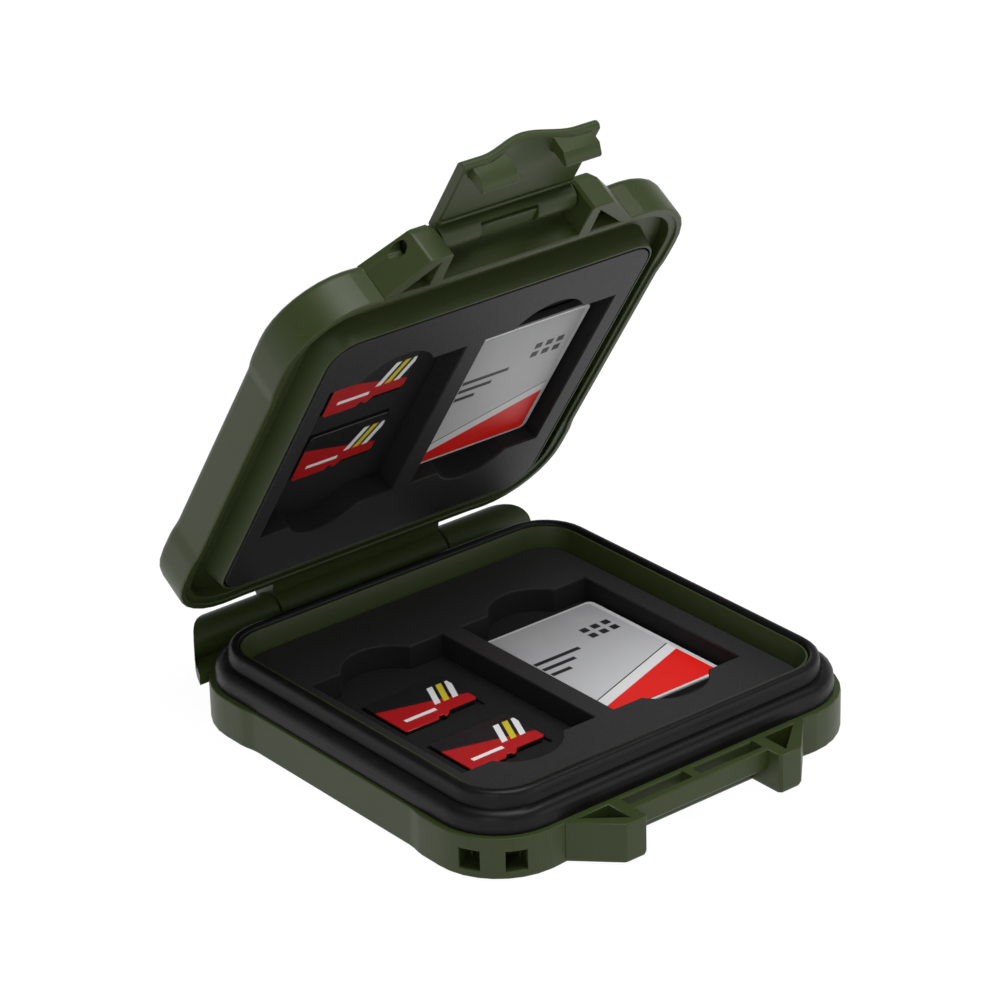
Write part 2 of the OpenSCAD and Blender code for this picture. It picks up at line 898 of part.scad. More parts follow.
module base_micro(end) {
    in_base(micro_x, base_micro_y + end * micro_pitch / 2, micro_sink)
        children();
}

module lid_micro(end) {
    in_lid(micro_x, lid_micro_y + end * micro_pitch / 2, micro_sink)
        children();
}

base_shell();
base_seal();
base_foam_bed();
base_foam_frame();
hinge_pin();
lid_shell();
lid_foam_bed();
lid_foam_frame();
latch_pin();
latch();
base_sd_front();
base_sd_back();
base_sd_contacts();
base_sd_lock();
lid_sd_front();
lid_sd_back();
lid_sd_contacts();
lid_sd_lock();
color("#a3171b") base_micro(1) micro_card();  // base_micro_a
color("#c9a24a") base_micro(1) micro_contacts();  // base_micro_a_contacts
color("#a3171b") base_micro(-1) micro_card();  // base_micro_b
color("#c9a24a") base_micro(-1) micro_contacts();  // base_micro_b_contacts
color("#a3171b") lid_micro(1) micro_card();  // lid_micro_a
color("#c9a24a") lid_micro(1) micro_contacts();  // lid_micro_a_contacts
color("#a3171b") lid_micro(-1) micro_card();  // lid_micro_b
color("#c9a24a") lid_micro(-1) micro_contacts();  // lid_micro_b_contacts
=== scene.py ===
# %% [markdown]
# # A pocket case for memory cards
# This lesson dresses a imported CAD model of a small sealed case. The solids already have their
# true shape and place, so Blender's work is the finish: softened moulding edges, plastic, rubber,
# cut foam, pins and printed cards. Blender works in metres, and MM turns millimetres into them.

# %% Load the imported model
import json
import math

import bmesh
import bpy
from mathutils import Matrix, Vector


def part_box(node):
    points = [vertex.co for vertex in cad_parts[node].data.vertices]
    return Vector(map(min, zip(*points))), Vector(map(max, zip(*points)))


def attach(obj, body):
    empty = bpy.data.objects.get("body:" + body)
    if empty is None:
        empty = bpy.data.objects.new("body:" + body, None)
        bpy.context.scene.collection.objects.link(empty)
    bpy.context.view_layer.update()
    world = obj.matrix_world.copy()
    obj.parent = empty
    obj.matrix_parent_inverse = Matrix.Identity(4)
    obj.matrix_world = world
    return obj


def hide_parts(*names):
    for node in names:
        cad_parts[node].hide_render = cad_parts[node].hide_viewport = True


MM = 0.001
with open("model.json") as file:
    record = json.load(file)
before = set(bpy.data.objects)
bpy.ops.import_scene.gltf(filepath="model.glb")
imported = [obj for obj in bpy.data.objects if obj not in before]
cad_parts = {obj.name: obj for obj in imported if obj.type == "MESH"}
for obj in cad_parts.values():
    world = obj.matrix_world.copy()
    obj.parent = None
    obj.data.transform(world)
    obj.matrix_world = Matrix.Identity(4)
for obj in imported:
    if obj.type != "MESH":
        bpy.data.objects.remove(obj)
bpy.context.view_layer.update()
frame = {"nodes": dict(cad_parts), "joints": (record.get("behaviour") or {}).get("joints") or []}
nodes = frame["nodes"]
joints = {joint["name"]: joint for joint in frame["joints"]}

# %% [markdown]
# ## The camera
# The photograph looks down on the front left corner through a long lens, tipped a little to one
# side. A camera is fully set by the point it looks at, its distance, two angles, a roll and its
# lens, so those six values are named and the matrix is worked out from them. Building the three
# axes by hand is safer than chaining rotations, because each axis can be checked on its own.

# %% Place the camera
LOOK_AT = Vector((-2.67, 1.26, 38.09)) * MM
DISTANCE = 624.67 * MM
AZIMUTH = math.radians(38.77)
ELEVATION = math.radians(25.42)
ROLL = math.radians(-1.55)
LENS = 149.2
NEAREST = 10 * MM


def add_camera():
    ahead = Vector((
        math.sin(AZIMUTH) * math.cos(ELEVATION),
        math.cos(AZIMUTH) * math.cos(ELEVATION),
        -math.sin(ELEVATION),
    ))
    level = ahead.cross(Vector((0, 0, 1))).normalized()
    upright = level.cross(ahead)
    right = math.cos(ROLL) * level + math.sin(ROLL) * upright
    up = math.cos(ROLL) * upright - math.sin(ROLL) * level
    camera = bpy.data.objects.new("camera", bpy.data.cameras.new("camera"))
    bpy.context.scene.collection.objects.link(camera)
    turn = Matrix((right, up, -ahead)).transposed().to_4x4()
    camera.matrix_world = Matrix.Translation(LOOK_AT - DISTANCE * ahead) @ turn
    camera.data.lens = LENS
    camera.data.clip_start = NEAREST
    bpy.context.scene.camera = camera
    print("camera at", [round(v, 3) for v in camera.location])


add_camera()

# %% [markdown]
# ## Writing shader maths as Python
# A node tree is long to write by hand. The small class below wraps one output socket and gives it
# Python's own operators, so that `1 - mask * 0.5` adds the Math nodes by itself. `Finish` holds one
# material: its `add` method makes any node from its type, its settings and its inputs.

# %% A socket that can be added, subtracted and multiplied
class Flow:
    """One output of a node. Operators on it add Math nodes."""

    def __init__(self, finish, socket):
        self.finish = finish
        self.socket = socket

    def maths(self, operation, *values):
        return self.finish.add("ShaderNodeMath", {"operation": operation}, list(values))

    def __add__(self, other):
        return self.maths("ADD", self, other)

    def __sub__(self, other):
        return self.maths("SUBTRACT", self, other)

    def __rsub__(self, other):
        return self.maths("SUBTRACT", other, self)

    def __mul__(self, other):
        return self.maths("MULTIPLY", self, other)

    def __abs__(self):
        return self.maths("ABSOLUTE", self)

    __radd__ = __add__
    __rmul__ = __mul__

    def past(self, edge, soft=0.06):
        """0 below the edge and 1 past it, with a soft step."""
        ramp = {"interpolation_type": "SMOOTHSTEP"}
        limits = [self, edge - soft / 2, edge + soft / 2, 0.0, 1.0]
        return self.finish.add("ShaderNodeMapRange", ramp, limits)

    def between(self, low, high):
        """1 between two edges and 0 outside them."""
        return self.past(low) * (1 - self.past(high))


# %% One material and its nodes
class Finish:
    """One procedural material, drawn on Object coordinates in millimetres."""

    def __init__(self, name):
        self.material = bpy.data.materials.new(name)
        self.material.use_nodes = True
        self.tree = self.material.node_tree
        self.shader = self.tree.nodes["Principled BSDF"]

    def add(self, kind, settings=None, values=(), output=0):
        node = self.tree.nodes.new(kind)
        for key, value in (settings or {}).items():
            setattr(node, key, value)
        pairs = values.items() if isinstance(values, dict) else enumerate(values)
        for key, value in pairs:
            self.fill(node.inputs[key], value)
        return Flow(self, node.outputs[output])

    def fill(self, socket, value):
        if isinstance(value, Flow):
            self.tree.links.new(value.socket, socket)
        elif socket.type == "RGBA" and len(value) == 3:
            socket.default_value = (*value, 1.0)
        else:
            socket.default_value = value

    def surface(self, **sockets):
        """Fills the shader's sockets, named with underscores for spaces."""
        for key, value in sockets.items():
            self.fill(self.shader.inputs[key.replace("_", " ")], value)

    def place(self, centre=(0, 0, 0), tilt=0.0):
        """Object coordinates in millimetres, about a centre and turned back by a tilt about X."""
        coordinates = self.add("ShaderNodeTexCoord", output="Object")
        values = {
            "Vector": coordinates,
            "Location": centre,
            "Rotation": (tilt, 0, 0),
            "Scale": (MM, MM, MM),
        }
        return self.add("ShaderNodeMapping", {"vector_type": "TEXTURE"}, values)

    def axes(self, place):
        node = self.tree.nodes.new("ShaderNodeSeparateXYZ")
        self.fill(node.inputs[0], place)
        return [Flow(self, output) for output in node.outputs]

    def noise(self, place, scale, detail=2.0, roughness=0.5):
        values = {"Vector": place, "Scale": scale, "Detail": detail, "Roughness": roughness}
        return self.add("ShaderNodeTexNoise", values=values)

    def blend(self, factor, first, second):
        """A colour between two others."""
        node = self.tree.nodes.new("ShaderNodeMix")
        node.data_type = "RGBA"
        self.fill(node.inputs[0], factor)
        self.fill(node.inputs[6], first)
        self.fill(node.inputs[7], second)
        return Flow(self, node.outputs[2])

    def bump(self, height, depth):
        """A relief of a depth in millimetres."""
        values = {"Height": height, "Distance": depth * MM, "Strength": 1.0}
        return self.add("ShaderNodeBump", values=values)


# %% [markdown]
# ## The plastics and the rubber
# The shell is injection moulded in a dark olive green with a fine spark-eroded grain. Its colour
# hardly changes, but its gloss does. One colour with one gloss would look like a drawing of
# plastic, so a little noise on the roughness breaks up the reflections, and a very shallow bump
# gives the grain. The seal is a smoother, blacker elastomer, made in the same way.

# %% Olive plastic
GREEN = (0.028, 0.042, 0.009)
GREEN_LIGHT = (0.034, 0.050, 0.013)


def olive_plastic():
    finish = Finish("olive_plastic")
    place = finish.place()
    cloud = finish.noise(place, scale=0.09, detail=3.0)
    grain = finish.noise(place, scale=5.0)
    finish.surface(
        Base_Color=finish.blend(cloud, GREEN, GREEN_LIGHT),
        Roughness=0.36 + cloud * 0.1 + grain * 0.06,
        Normal=finish.bump(grain, depth=0.012),
        Specular_IOR_Level=0.3,
    )
    return finish.material


# %% Seal rubber
RUBBER = (0.0025, 0.0026, 0.0025)
RUBBER_DUSTY = (0.005, 0.0052, 0.005)


def seal_rubber():
    finish = Finish("seal_rubber")
    place = finish.place()
    cloud = finish.noise(place, scale=0.3, detail=4.0, roughness=0.6)
    finish.surface(
        Base_Color=finish.blend(cloud, RUBBER, RUBBER_DUSTY),
        Roughness=0.34 + cloud * 0.14,
        Normal=finish.bump(finish.noise(place, scale=3.0), depth=0.01),
        Specular_IOR_Level=0.2,
    )
    return finish.material


# %% [markdown]
# ## The metals
# The pins are drawn steel rod with a black oxide finish, so their fine lines run along X.
# Anisotropic gloss could suggest them, but lines in the roughness also survive an export to other
# programs, so a noise squeezed along the rod gives them. The contact pads are gold plated and
# nearly smooth.

# %% Steel and gold
STEEL_DARK = (0.020, 0.020, 0.019)
STEEL_WORN = (0.034, 0.034, 0.032)
DRAWN_LINES = (0.15, 9.0, 9.0)
GOLD_DEEP = (0.60, 0.40, 0.13)
GOLD_PALE = (0.78, 0.55, 0.22)


def blackened_steel():
    finish = Finish("blackened_steel")
    values = {"Vector": finish.place(), "Scale": DRAWN_LINES}
    drawn = finish.add("ShaderNodeMapping", values=values)
    streaks = finish.noise(drawn, scale=1.0, detail=3.0)
    finish.surface(
        Base_Color=finish.blend(streaks, STEEL_DARK, STEEL_WORN),
        Metallic=1.0,
        Roughness=0.34 + streaks * 0.16,
        Normal=finish.bump(streaks, depth=0.006),
    )
    return finish.material


def gold_pads():
    finish = Finish("gold_pads")
    cloud = finish.noise(finish.place(), scale=1.2, detail=3.0)
    finish.surface(
        Base_Color=finish.blend(cloud, GOLD_DEEP, GOLD_PALE),
        Metallic=1.0,
        Roughness=0.2 + cloud * 0.12,
    )
    return finish.material


# %% [markdown]
# ## Pieces that lie flat or in the tilted lid
# Foam layers and cards lie flat in the base and face down from the tilted lid. A pattern that has
# to know which way is up on them needs their centre and their tilt. An empty at each piece could
# carry them, but an export drops such a link. Numbers are safer, and both come from the model: the
# box round a node gives its centre, and the hinge's range gives how far the lid stands open.

# %% Where a card or a foam layer lies
LID_TILT = math.radians(-joints["lid_hinge"]["range_deg"][0])
FACE_UP = 0.0
FACE_OUT_OF_LID = math.pi - LID_TILT


def lying(node):
    """A card's or a layer's centre and its tilt about X."""
    low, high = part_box(node)
    tilt = FACE_OUT_OF_LID if node.startswith("lid") else FACE_UP
    return (low + high) / 2, tilt


print("the lid stands open by", round(math.degrees(LID_TILT), 1), "degrees")

# %% [markdown]
# ## The foam
# The inserts are cut from fine closed-cell foam. Seen from a hand's width away, it is an even dark
# grey with a faint mottle, and its cells show as tiny pits. A Voronoi pattern gives the pits and a
# noise gives the mottle.
# Only the top face keeps the sheet's skin. Whatever lies below it was cut and is duller, and it is
# also given a darker colour, which is painted shade in the pockets and on the walls. A mask on the
# height over the layer's middle finds it.

# %% Foam
FOAM_DARK = (0.011, 0.011, 0.0112)
FOAM_LIGHT = (0.019, 0.019, 0.0195)
# Faces below the skin get this darker colour, which is painted shade on the pockets' walls and
# floors and on the outer walls.
FOAM_PAINTED_SHADE = (0.004, 0.004, 0.0041)
SKIN_STEP = 0.3
foam_low, foam_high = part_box("base_foam_frame")
FOAM_TOP = (foam_high.z - foam_low.z) / MM / 2
print("the foam's skin lies", round(FOAM_TOP, 2), "mm above the middle of the layer")


def cut_foam(name, centre, tilt):
    finish = Finish(name)
    place = finish.place(centre, tilt)
    height = finish.axes(place)[2]
    # The faces below the skin: painted shade for the pockets' walls and floors and the outer walls,
    # and a duller gloss.
    below_skin_mask = 1 - height.past(FOAM_TOP - SKIN_STEP, SKIN_STEP)
    mottle = finish.noise(place, scale=0.5, detail=5.0, roughness=0.65)
    cells = finish.add("ShaderNodeTexVoronoi", values={"Vector": place, "Scale": 2.6})
    pits = cells.past(0.28, 0.4)
    skin = finish.blend(mottle * 0.7 + pits * 0.3, FOAM_DARK, FOAM_LIGHT)
    finish.surface(
        Base_Color=finish.blend(below_skin_mask, skin, FOAM_PAINTED_SHADE),
        Roughness=0.62 - pits * 0.1 + below_skin_mask * 0.3,
        Normal=finish.bump(pits * 0.6 + mottle * 0.4, depth=0.025),
        Specular_IOR_Level=0.34,
    )
    return finish.material


# %% [markdown]
# ## The cards' plastics and prints
# A large card has a pale face round its label and dark plastic behind it, and a small card is
# printed all over its face. Each print is drawn in the card's own millimetres, from its centre, so
# the same drawing serves a flat card in the base and a tilted one in the lid. The drawings are
# plain stripes, bars and dots. An image texture could hold them too, but maths stays sharp at any
# distance and needs no file.

# %% Card plastics
PALE_DARK = (0.54, 0.54, 0.55)
PALE_LIGHT = (0.62, 0.62, 0.63)
SHELL_DARK = (0.035, 0.035, 0.037)
PALE_ABOVE = 0.42


def card_plastic(name, dark, light, gloss):
    """Plain fine-grained plastic."""
    finish = Finish(name)
    place = finish.place()
    cloud = finish.noise(place, scale=0.6, detail=3.0)
    finish.surface(
        Base_Color=finish.blend(cloud, dark, light),
        Roughness=gloss + cloud * 0.1,
        Normal=finish.bump(finish.noise(place, scale=6.0), depth=0.006),
    )
    return finish.material


def card_shell(name, centre, tilt):
    """Dark plastic with a pale face round the label."""
    finish = Finish(name)
    place = finish.place(centre, tilt)
    cloud = finish.noise(place, scale=0.6, detail=3.0)
    face = finish.axes(place)[2].past(PALE_ABOVE, 0.1)
    pale = finish.blend(cloud, PALE_DARK, PALE_LIGHT)
    finish.surface(
        Base_Color=finish.blend(face, SHELL_DARK, pale),
        Roughness=0.3 + cloud * 0.1,
        Normal=finish.bump(finish.noise(place, scale=6.0), depth=0.006),
    )
    return finish.material


# %% The large card's label
# The label's silver is painted darker towards its top. This gradient is painted shade, and the
# colour below is its darkest end.
SILVER_PAINTED_SHADE_TOP = (0.30, 0.305, 0.315)
SILVER_LOW = (0.60, 0.605, 0.615)
LABEL_RED = (0.72, 0.010, 0.006)
LABEL_WHITE = (0.70, 0.70, 0.70)
LABEL_INK = (0.012, 0.012, 0.014)
CARD_WIDE = 24
CARD_LONG = 32
BAND_SLOPE = 0.35
WHITE_BELOW = -7.4
RED_BELOW = -9.6
HAIRLINE = 0.25
BAR_LEFT, BAR_TOP = -9.2, 5.1
BAR_THICK, BAR_STEP = 0.9, 2.1
BAR_LONGEST, BAR_SHORTER = 9.2, 2.6
DOT_LEFT, DOT_TOP = 4.4, 8.6
DOT_HALF, DOT_STEP = 0.7, 2.2


def label_ink(finish, x, y, slant):
    """A hairline over the band, three bars and six square dots."""
    ink = slant.between(WHITE_BELOW, WHITE_BELOW + HAIRLINE)
    for row in range(3):
        top = BAR_TOP - BAR_STEP * row
        length = BAR_LONGEST - BAR_SHORTER * row
        bar = y.between(top - BAR_THICK, top) * x.between(BAR_LEFT, BAR_LEFT + length)
        ink = ink.maths("MAXIMUM", ink, bar)
    for column in range(3):
        for row in range(2):
            across = abs(x - (DOT_LEFT + DOT_STEP * column))
            along = abs(y - (DOT_TOP - DOT_STEP * row))
            dot = (1 - across.past(DOT_HALF)) * (1 - along.past(DOT_HALF))
            ink = ink.maths("MAXIMUM", ink, dot)
    return ink


def large_label(name, centre, tilt):
    """A silver label with painted shade darkening it towards its top, and a slanted white and red
    band.
    """
    finish = Finish(name)
    place = finish.place(centre, tilt)
    x, y, _ = finish.axes(place)
    brushed = finish.noise(place, scale=0.25, detail=4.0)
    slant = y - x * BAND_SLOPE
    # Painted shade: the silver darkens from the label's foot to its top.
    silver = finish.blend((y + CARD_LONG / 2) * (1 / CARD_LONG), SILVER_LOW, SILVER_PAINTED_SHADE_TOP)
    silver = finish.blend(brushed * 0.25, silver, SILVER_LOW)
    colour = finish.blend(1 - slant.past(WHITE_BELOW), silver, LABEL_WHITE)
    colour = finish.blend(1 - slant.past(RED_BELOW), colour, LABEL_RED)
    colour = finish.blend(label_ink(finish, x, y, slant), colour, LABEL_INK)
    finish.surface(Base_Color=colour, Roughness=0.32 + brushed * 0.12, Specular_IOR_Level=0.3)
    return finish.material


# %% The small card's print
CARD_BLACK = (0.010, 0.010, 0.011)
CARD_RED = (0.42, 0.008, 0.010)
CARD_WHITE = (0.80, 0.80, 0.80)
CARD_YELLOW = (0.62, 0.52, 0.03)
SPLIT_SLOPE, SPLIT_AT = 0.28, 0.2
FLASHES = (CARD_WHITE, CARD_YELLOW, CARD_WHITE)
FLASH_FIRST, FLASH_STEP, FLASH_HALF = 2.4, 1.75, 0.55
FLASH_LEAN, FLASH_LOW, FLASH_HIGH = 0.45, -1.6, 3.4
STRIPE_LOW, STRIPE_HIGH = -3.1, -2.3
STRIPE_LEFT, STRIPE_RIGHT = -5.6, 0.4
FACE_ABOVE = 0.35


def small_print(name, centre, tilt):
    """A face half black and half red, with three leaning flashes and a stripe."""
    finish = Finish(name)
    place = finish.place(centre, tilt)
    x, y, z = finish.axes(place)
    cloud = finish.noise(place, scale=0.5, detail=3.0)
    red = 1 - (y + x * SPLIT_SLOPE).past(SPLIT_AT)
    colour = finish.blend(red, CARD_BLACK, CARD_RED)
    for index, ink in enumerate(FLASHES):
        middle = FLASH_FIRST + FLASH_STEP * index
        leaning = (x - y * FLASH_LEAN).between(middle - FLASH_HALF, middle + FLASH_HALF)
        colour = finish.blend(leaning * y.between(FLASH_LOW, FLASH_HIGH), colour, ink)
    stripe = y.between(STRIPE_LOW, STRIPE_HIGH) * x.between(STRIPE_LEFT, STRIPE_RIGHT)
    colour = finish.blend(stripe, colour, CARD_WHITE)
    colour = finish.blend(1 - z.past(FACE_ABOVE, 0.05), colour, CARD_BLACK)
    finish.surface(Base_Color=colour, Roughness=0.3 + cloud * 0.1)
    return finish.material


# %% [markdown]
# ## Softening a moulded edge
# CAD solids have knife edges, and nothing moulded does. Each node is copied, its loose triangles
# are merged, its flat areas joined, and the edges that stick out get a narrow bevel, which catches
# the light as the real radius does. Only edges with room on both sides are taken, because a bevel
# that is wider than its face tears it. The copy then stands for its CAD node.

# %% Selecting and editing
MERGE = 0.002 * MM
FLAT = math.radians(0.6)


def pick(piece):
    """Makes one piece the only selected one, and the active one."""
    bpy.ops.object.select_all(action="DESELECT")
    piece.select_set(True)
    bpy.context.view_layer.objects.active = piece


def begin_edit(piece, mode="EDGE"):
    """Opens a piece in edit mode with nothing of it selected."""
    pick(piece)
    bpy.ops.object.mode_set(mode="EDIT")
    bpy.ops.mesh.select_mode(type=mode)
    bpy.ops.mesh.select_all(action="DESELECT")


def choose(piece, mode="EDGE"):
    """Clears a piece's selection and leaves edit mode, so that code can set it."""
    begin_edit(piece, mode)
    bpy.ops.object.mode_set(mode="OBJECT")


def merged_copy(node, name):
    """A copy of a CAD node's mesh with its triangles joined up."""
    piece = bpy.data.objects.new(name, nodes[node].data.copy())
    bpy.context.scene.collection.objects.link(piece)
    begin_edit(piece, "VERT")
    bpy.ops.mesh.select_all(action="SELECT")
    bpy.ops.mesh.remove_doubles(threshold=MERGE)
    bpy.ops.mesh.dissolve_limited(angle_limit=FLAT)
    bpy.ops.object.mode_set(mode="OBJECT")
    return piece


# %% Edges that a bevel fits
FACE_ROOM = 1.6
EDGE_ROOM = 1.15


def has_room(edge, width):
    """True where both faces are wide enough and the edges at the ends long enough."""
    start, end = edge.verts
    along = (end.co - start.co).normalized()
    for face in edge.link_faces:
        spokes = [v.co - start.co for v in face.verts]
        reach = max((spoke - spoke.dot(along) * along).length for spoke in spokes)
        if reach < FACE_ROOM * width:
            return False
    beside = [other for v in edge.verts for other in v.link_edges]
    return all(other.calc_length() > EDGE_ROOM * width for other in beside)


def outside_edges(piece, width, turn):
    """The edges that stick out, turn by more than an angle and have room for a bevel."""
    mesh = bmesh.new()
    mesh.from_mesh(piece.data)
    chosen = [
        edge.index for edge in mesh.edges
        if edge.is_manifold and edge.calc_face_angle_signed() > turn and has_room(edge, width)
    ]
    mesh.free()
    return chosen


# %% Bevel, shade and dress
def soften(piece, width, turn=50, segments=2):
    """Bevels outside edges by a width in millimetres, where they turn by more than an angle."""
    choose(piece)
    for index in outside_edges(piece, width * MM, math.radians(turn)):
        piece.data.edges[index].select = True
    bpy.ops.object.mode_set(mode="EDIT")
    bpy.ops.mesh.bevel(
        offset=width * MM, offset_type="OFFSET", segments=segments, affect="EDGES",
        clamp_overlap=False,
    )
    bpy.ops.object.mode_set(mode="OBJECT")


def smooth(piece, turn=32):
    """Smooth shading that leaves flat faces flat, because wide faces outweigh narrow ones."""
    pick(piece)
    bpy.ops.object.shade_smooth_by_angle(angle=math.radians(turn))
    bpy.ops.object.modifier_add(type="WEIGHTED_NORMAL")
    piece.modifiers[-1].keep_sharp = True
    bpy.ops.object.modifier_apply(modifier=piece.modifiers[-1].name)


def softened(node, name, width, turn=50, segments=2):
    """A merged copy of a node with soft outside edges."""
    piece = merged_copy(node, name)
    soften(piece, width, turn, segments)
    smooth(piece)
    return piece


def dress(piece, material, body, slot, *replaced):
    """Gives a finished piece its material and its place in the frame."""
    piece.data.materials.clear()
    piece.data.materials.append(material)
    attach(piece, body)
    if replaced:
        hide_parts(*replaced)
    print(piece.name, "has", len(piece.data.polygons), "faces")


# %% [markdown]
# ## The shells
# Base and lid are single mouldings with thin walls, ears and hinge knuckles. They could be modelled
# again from a bevelled box, but their form is all in the CAD nodes, so a bevel of a fifth of a
# millimetre and good shading are what is left to do.

# %% The two shells
SHELL_EDGE = 0.22
GREEN_PLASTIC = olive_plastic()
for node, body in (("base_shell", "base"), ("lid_shell", "lid")):
    shell = softened(node, node + "_moulding", SHELL_EDGE)
    dress(shell, GREEN_PLASTIC, body, "green_plastic", node)

# %% [markdown]
# ## The latch
# The latch is one moulding: a plate with a bowed thumb lip, two hooks and a barrel that turns on
# its pin. The barrel has a notch, and the real notch has a thin floor that hides the pin. The
# solid's notch is open, so a thin slab with rounded edges is laid over the pin, square to the
# plate, and joined to the latch. A Boolean union could do the same, but it would cut the copy's
# faces into slivers.

# %% The latch, with a floor in its barrel's notch
LATCH_EDGE = 0.24
NOTCH_HALF = 5.6 * MM
NOTCH_FLOOR = 1.25 * MM
NOTCH_SKIN = 0.2 * MM
NOTCH_DEEP = 1.45 * MM
SLAB_ROUND = 0.3


def add_notch_floor(axis, inward):
    """A slab over the pin, rounded while it is a cube and then squeezed to its size."""
    bpy.ops.object.select_all(action="DESELECT")
    bpy.ops.mesh.primitive_cube_add(size=2)
    slab = bpy.context.object
    slab.name = "notch_floor"
    begin_edit(slab)
    bpy.ops.mesh.select_all(action="SELECT")
    bpy.ops.mesh.bevel(offset=SLAB_ROUND, segments=3, affect="EDGES")
    bpy.ops.object.mode_set(mode="OBJECT")
    turn = Vector((0, 0, 1)).rotation_difference(inward).to_matrix().to_4x4()
    size = Matrix.Diagonal((NOTCH_HALF, NOTCH_DEEP, NOTCH_SKIN, 1))
    slab.matrix_world = Matrix.Translation(axis + inward * NOTCH_FLOOR) @ turn @ size
    bpy.ops.object.transform_apply(location=True, rotation=True, scale=True)
    return slab


latch = merged_copy("latch", "latch_moulding")
soften(latch, LATCH_EDGE, turn=40, segments=3)
plate = max(nodes["latch"].data.polygons, key=lambda face: face.area)
inward = -plate.normal if plate.normal.z > 0 else plate.normal.copy()
add_notch_floor(Vector(joints["latch_hinge"]["pos_m"]), inward)
latch.select_set(True)
bpy.context.view_layer.objects.active = latch
bpy.ops.object.join()
smooth(latch, 24)
dress(latch, GREEN_PLASTIC, "latch", "green_plastic", "latch")

# %% [markdown]
# ## The seal
# The seal is a rubber moulding with a low outer bead and a tall inner one. The CAD node carries
# its section round the case as rings of points, each at its own height above the ledge. On the
# real seal the outer bead is fuller, and the crest hides the collar's edge. A ring is known by its
# height, so a small table says how far each one moves out and up.

# %% The seal's rings
LEDGE = 6.8
RING_MATCH = 0.02
FULLER = {
    1.25: (0.2, 0), 1.5: (0.5, 0), 1.85: (0.58, 0), 2.2: (0.4, 0), 2.95: (0.22, 0),
    5.45: (0, 0.4), 4.8: (0, 0.45),
}


def fill_out(seal):
    """Moves the rings of the table, and counts the points that it moved."""
    moved = 0
    for vertex in seal.data.vertices:
        level = vertex.co.z / MM - LEDGE
        for height, (out, up) in FULLER.items():
            if abs(level - height) < RING_MATCH:
                flat = Vector((vertex.normal.x, vertex.normal.y, 0)).normalized()
                vertex.co += (flat * out + Vector((0, 0, up))) * MM
                moved += 1
                break
    return moved


seal = merged_copy("base_seal", "seal_moulding")
print("seal points moved:", fill_out(seal), "of", len(seal.data.vertices))
smooth(seal, 60)
dress(seal, seal_rubber(), "base", "seal_rubber", "base_seal")

# %% [markdown]
# ## The foam layers
# Each insert is two layers: a bed with shallow recesses and a frame with the card pockets. The
# foam is dense and cut with a knife, so it needs no cloth simulation: straight walls with a small
# round edge are its real form. An insert never fills its tray quite to the wall, and its outer
# walls are drawn in a little, which leaves the dark line that the real one shows.

# %% A narrow gap round each insert
FOAM_HALF = max(abs(v) for v in (*foam_low[:2], *foam_high[:2]))
FOAM_GAP = 0.16
WALL_BAND = 7 * MM
UPRIGHT = 0.2


def draw_in(foam):
    """Moves an insert's outer walls inwards by the gap."""
    choose(foam, "FACE")
    level = Matrix.Rotation(LID_TILT if foam.name.startswith("lid") else 0.0, 3, "X")
    middle = sum((Vector(corner) for corner in foam.bound_box), Vector()) / 8
    for face in foam.data.polygons:
        reach = level @ (face.center - middle)
        facing = level @ face.normal
        outwards = abs(facing.z) < UPRIGHT and facing.dot(reach) > 0
        near_wall = max(abs(reach.x), abs(reach.y)) > FOAM_HALF - WALL_BAND
        face.select = outwards and near_wall
    bpy.ops.object.mode_set(mode="EDIT")
    bpy.ops.transform.shrink_fatten(value=-FOAM_GAP * MM, use_even_offset=True)
    bpy.ops.object.mode_set(mode="OBJECT")


# %% Foam layers
FOAM_EDGE = 0.12
for body in ("base", "lid"):
    foam_finish = cut_foam(body + "_foam_skin", *lying(body + "_foam_frame"))
    for layer in ("foam_bed", "foam_frame"):
        node = body + "_" + layer
        foam = merged_copy(node, node + "_soft")
        draw_in(foam)
        soften(foam, FOAM_EDGE, turn=40, segments=3)
        smooth(foam, 40)
        dress(foam, foam_finish, body, "foam", node)

# %% [markdown]
# ## The pins
# Both pins are lengths of rod whose ends are chamfered, so that they enter their bores. A bevelled
# cylinder would do as well, but the CAD rod already has its length and its place.

# %% Pins
PIN_EDGE = 0.18
STEEL = blackened_steel()
for node, body in (("hinge_pin", "base"), ("latch_pin", "lid")):
    pin = softened(node, node + "_rod", PIN_EDGE, turn=60)
    dress(pin, STEEL, body, "steel", node)

# %% [markdown]
# ## The large cards
# The moulded halves, the contact pads and the write lock come from the CAD nodes. The label is a
# thin sheet stuck on the face. It could be only a colour of the face, but then its edge would not
# catch the light, so it is a new piece: a cube at the label's size, whose four upright edges are
# rounded, laid on the card.

# %% The label
LABEL_RIM = 0.55
LABEL_SIDE_RIM = 0.88
LABEL_THICK = 0.05 * MM
LABEL_CORNER = 0.8 * MM
FRONT_THICK = 1.4 * MM


